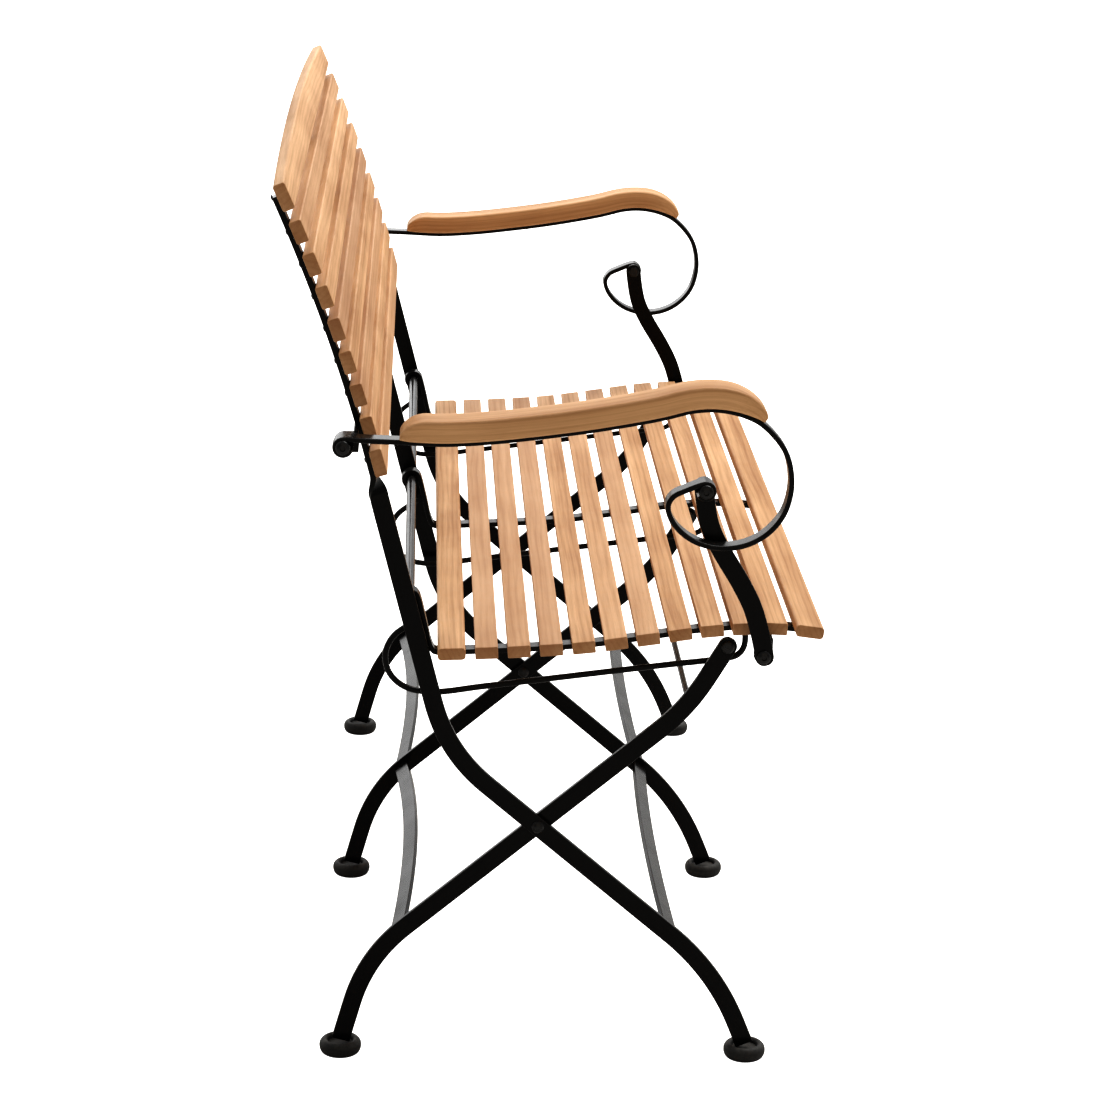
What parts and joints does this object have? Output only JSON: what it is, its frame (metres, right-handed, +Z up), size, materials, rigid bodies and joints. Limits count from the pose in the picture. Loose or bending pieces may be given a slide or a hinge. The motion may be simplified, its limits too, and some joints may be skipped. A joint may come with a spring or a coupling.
{
  "type": "folding garden bench",
  "caption": "Folding garden bench with teak slats on scissor frames of black flat bar, with scrolled arms that fold up with the seat.",
  "frame": {"origin": "on the floor, under the centre of the whole bench's bounding box, standing open", "axes": "+X along the bench, +Y towards the back, +Z up; the sitter faces -Y"},
  "size_m": [1.1252, 0.5282, 0.8835],
  "materials": {
    "teak": "oiled teak, fine straight grain, eased edges",
    "steel": "black satin powder coat",
    "fixings": "black zinc, satin",
    "rubber": "dark grey moulded rubber, matt"
  },
  "bodies": {
    "back_frame": {"front_leg_left": "steel", "front_leg_middle": "steel", "front_leg_right": "steel", "front_foot_left": "rubber", "front_foot_middle": "rubber", "front_foot_right": "rubber", "crossing_rivet_left": "fixings", "crossing_rivet_middle": "fixings", "crossing_rivet_right": "fixings", "hinge_tube": "steel", "front_stretcher_left": "steel", "front_stretcher_right": "steel", "back_slat_1": "teak", "back_slat_2": "teak", "back_slat_3": "teak", "back_slat_4": "teak", "back_slat_5": "teak", "back_slat_6": "teak", "back_slat_7": "teak", "back_slat_8": "teak", "back_crest_rail": "teak", "arm_pivot_bolt_left": "fixings", "arm_pivot_bolt_right": "fixings"},
    "rear_leg_frame": {"rear_leg_left": "steel", "rear_leg_middle": "steel", "rear_leg_right": "steel", "rear_foot_left": "rubber", "rear_foot_middle": "rubber", "rear_foot_right": "rubber", "guide_pin_left": "fixings", "guide_pin_middle": "fixings", "guide_pin_right": "fixings", "upper_cross_rod": "steel", "rear_stretcher_left": "steel", "rear_stretcher_right": "steel"},
    "seat": {"seat_slat_01": "teak", "seat_slat_02": "teak", "seat_slat_03": "teak", "seat_slat_04": "teak", "seat_slat_05": "teak", "seat_slat_06": "teak", "seat_slat_07": "teak", "seat_slat_08": "teak", "seat_slat_09": "teak", "seat_slat_10": "teak", "seat_slat_11": "teak", "seat_slat_12": "teak", "seat_rail_left": "steel", "seat_rail_middle": "steel", "seat_rail_right": "steel"},
    "arm_left": {"arm_strip_left": "steel", "armrest_left": "teak"},
    "arm_support_left": {"arm_support_left": "steel", "support_head_bolt_left": "fixings", "support_foot_bolt_left": "fixings"},
    "arm_right": {"arm_strip_right": "steel", "armrest_right": "teak"},
    "arm_support_right": {"arm_support_right": "steel", "support_head_bolt_right": "fixings", "support_foot_bolt_right": "fixings"}
  },
  "joints": [
    {"name": "seat_fold", "type": "hinge", "parent": "back_frame", "child": "seat", "pos_m": [0, 0.13149, 0.4682], "axis": [-1, 0, 0], "range_deg": [0, 96.5]},
    {"name": "leg_fold", "type": "hinge", "parent": "back_frame", "child": "rear_leg_frame", "pos_m": [0, 0.00439, 0.2425], "axis": [-1, 0, 0], "range_deg": [0, 60.5]},
    {"name": "arm_fold_left", "type": "hinge", "parent": "back_frame", "child": "arm_left", "pos_m": [-0.5436, 0.19389, 0.6346], "axis": [-1, 0, 0], "range_deg": [0, 96.5]},
    {"name": "support_swing_left", "type": "hinge", "parent": "seat", "child": "arm_support_left", "pos_m": [-0.5302, -0.20501, 0.4302], "axis": [1, 0, 0], "range_deg": [0, 96.5]},
    {"name": "arm_fold_right", "type": "hinge", "parent": "back_frame", "child": "arm_right", "pos_m": [0.5436, 0.19389, 0.6346], "axis": [-1, 0, 0], "range_deg": [0, 96.5]},
    {"name": "support_swing_right", "type": "hinge", "parent": "seat", "child": "arm_support_right", "pos_m": [0.5302, -0.20501, 0.4302], "axis": [1, 0, 0], "range_deg": [0, 96.5]}
  ],
  "couplings": [
    {"joint": "leg_fold", "follows": "seat_fold", "ratio": 0.626},
    {"joint": "arm_fold_left", "follows": "seat_fold", "ratio": 1},
    {"joint": "support_swing_left", "follows": "seat_fold", "ratio": 1},
    {"joint": "arm_fold_right", "follows": "seat_fold", "ratio": 1},
    {"joint": "support_swing_right", "follows": "seat_fold", "ratio": 1}
  ]
}
